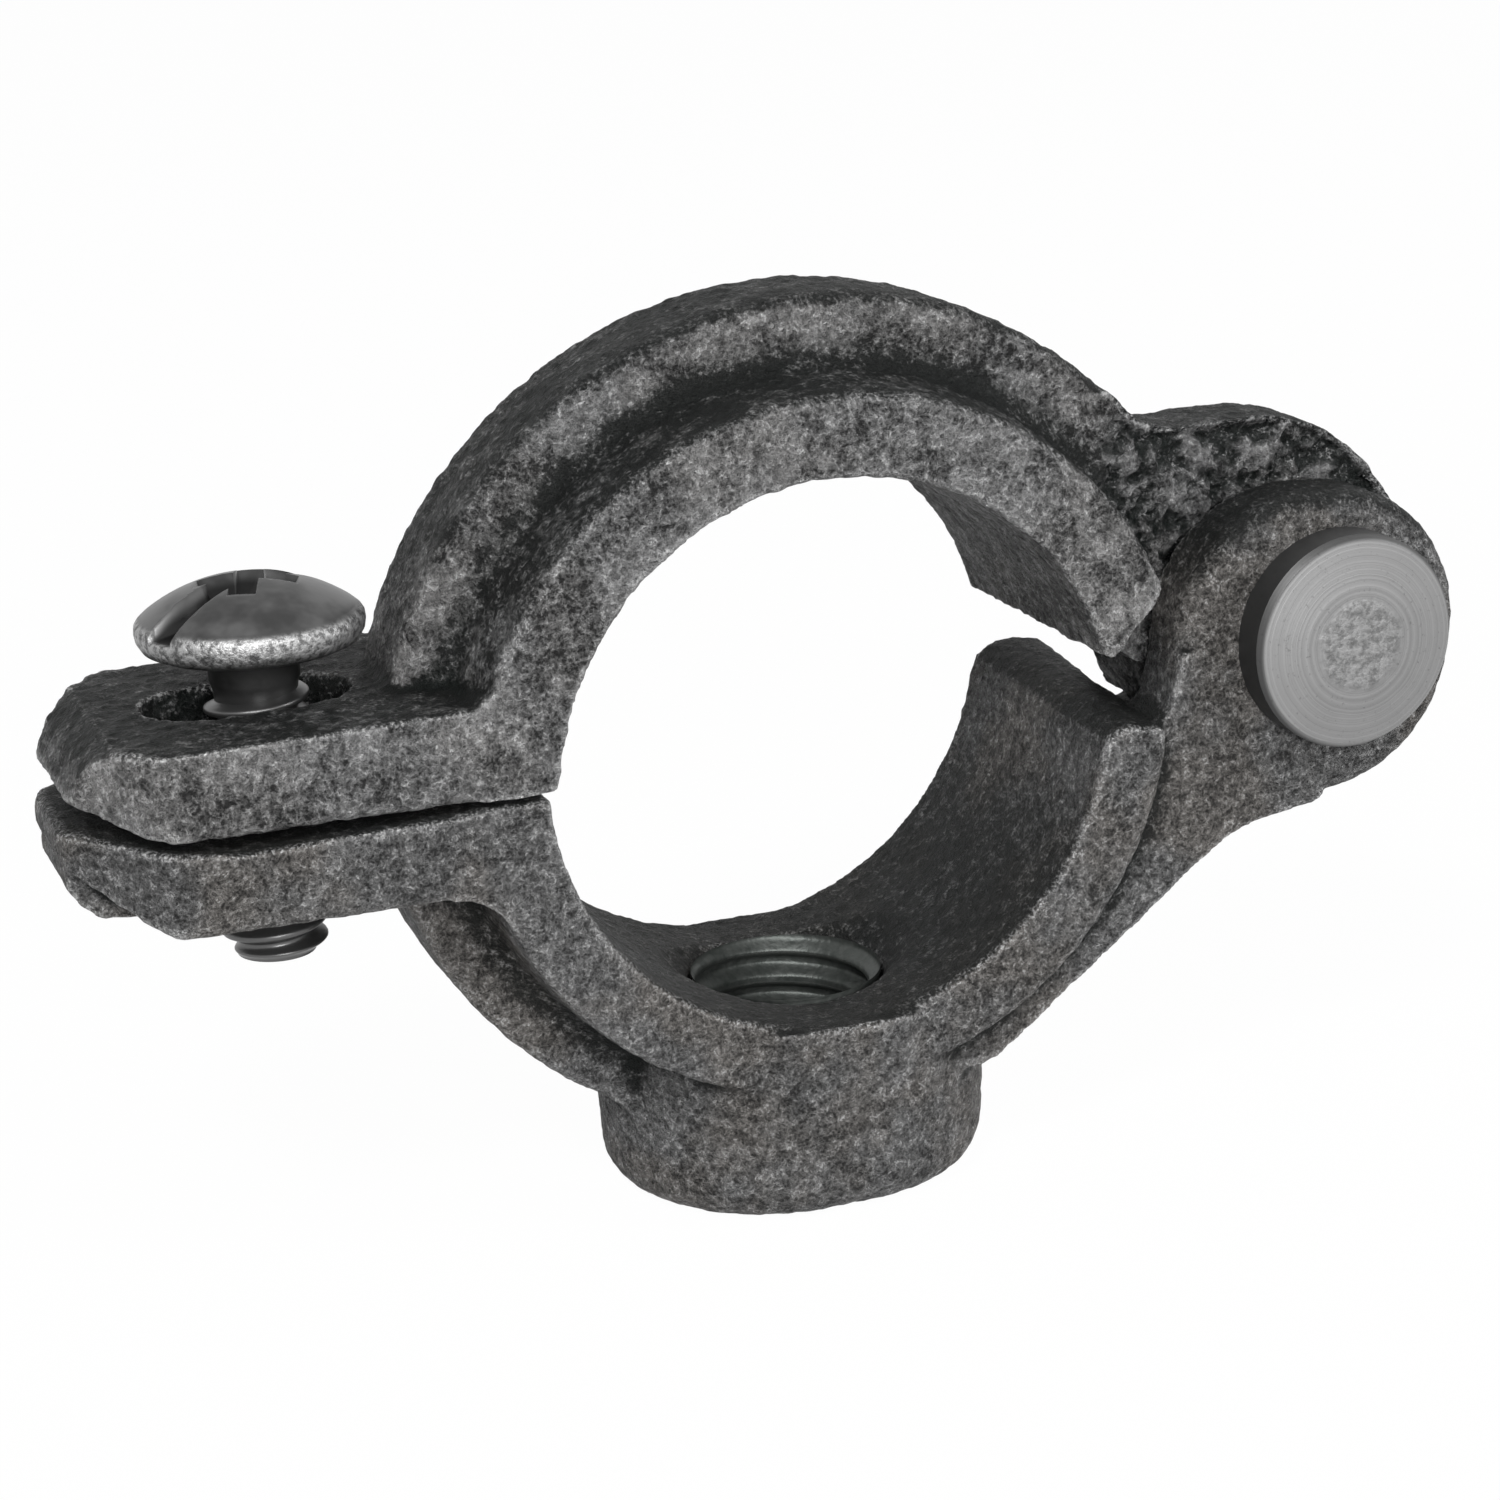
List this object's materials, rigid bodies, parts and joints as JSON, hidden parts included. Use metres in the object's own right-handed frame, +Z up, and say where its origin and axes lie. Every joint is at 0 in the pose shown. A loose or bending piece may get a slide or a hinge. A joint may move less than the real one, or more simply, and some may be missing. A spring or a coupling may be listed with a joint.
{
  "type": "extension ring hanger",
  "caption": "Hinged cast-iron pipe hanger: half rings on a riveted lap hinge, shut by a truss-head screw through slotted side ears, with a threaded boss for a rod.",
  "frame": {"origin": "on the pipe's axis, halfway along the ring's width: the centre of the lower half's inner arc", "axes": "+X across the ring towards the hinge, +Y along the pipe away from the rivet's flat head, +Z up, with the rod boss pointing down"},
  "size_m": [0.0701, 0.0179, 0.0432],
  "materials": {
    "lower_iron": "as-cast malleable iron, dark grey, sand-grained, lightly oiled",
    "upper_iron": "as-cast malleable iron, dark grey, coarse sand grain, lightly oiled",
    "rivet_steel": "bright steel, satin, faint turned rings",
    "screw_steel": "darkened steel, semi-bright"
  },
  "bodies": {
    "fixed_half": {"lower_half": "lower_iron", "hinge_rivet": "rivet_steel"},
    "swing_half": {"upper_half": "upper_iron"},
    "screw": {"clamp_screw": "screw_steel"}
  },
  "joints": [
    {"name": "hinge_swing", "type": "hinge", "parent": "fixed_half", "child": "swing_half", "pos_m": [0.02619, 0, 0.0015], "axis": [0, 1, 0], "range_deg": [0, 180]},
    {"name": "screw_travel", "type": "slide", "parent": "swing_half", "child": "screw", "axis": [0, 0, 1], "range_m": [-0.00175, 0.013]}
  ]
}
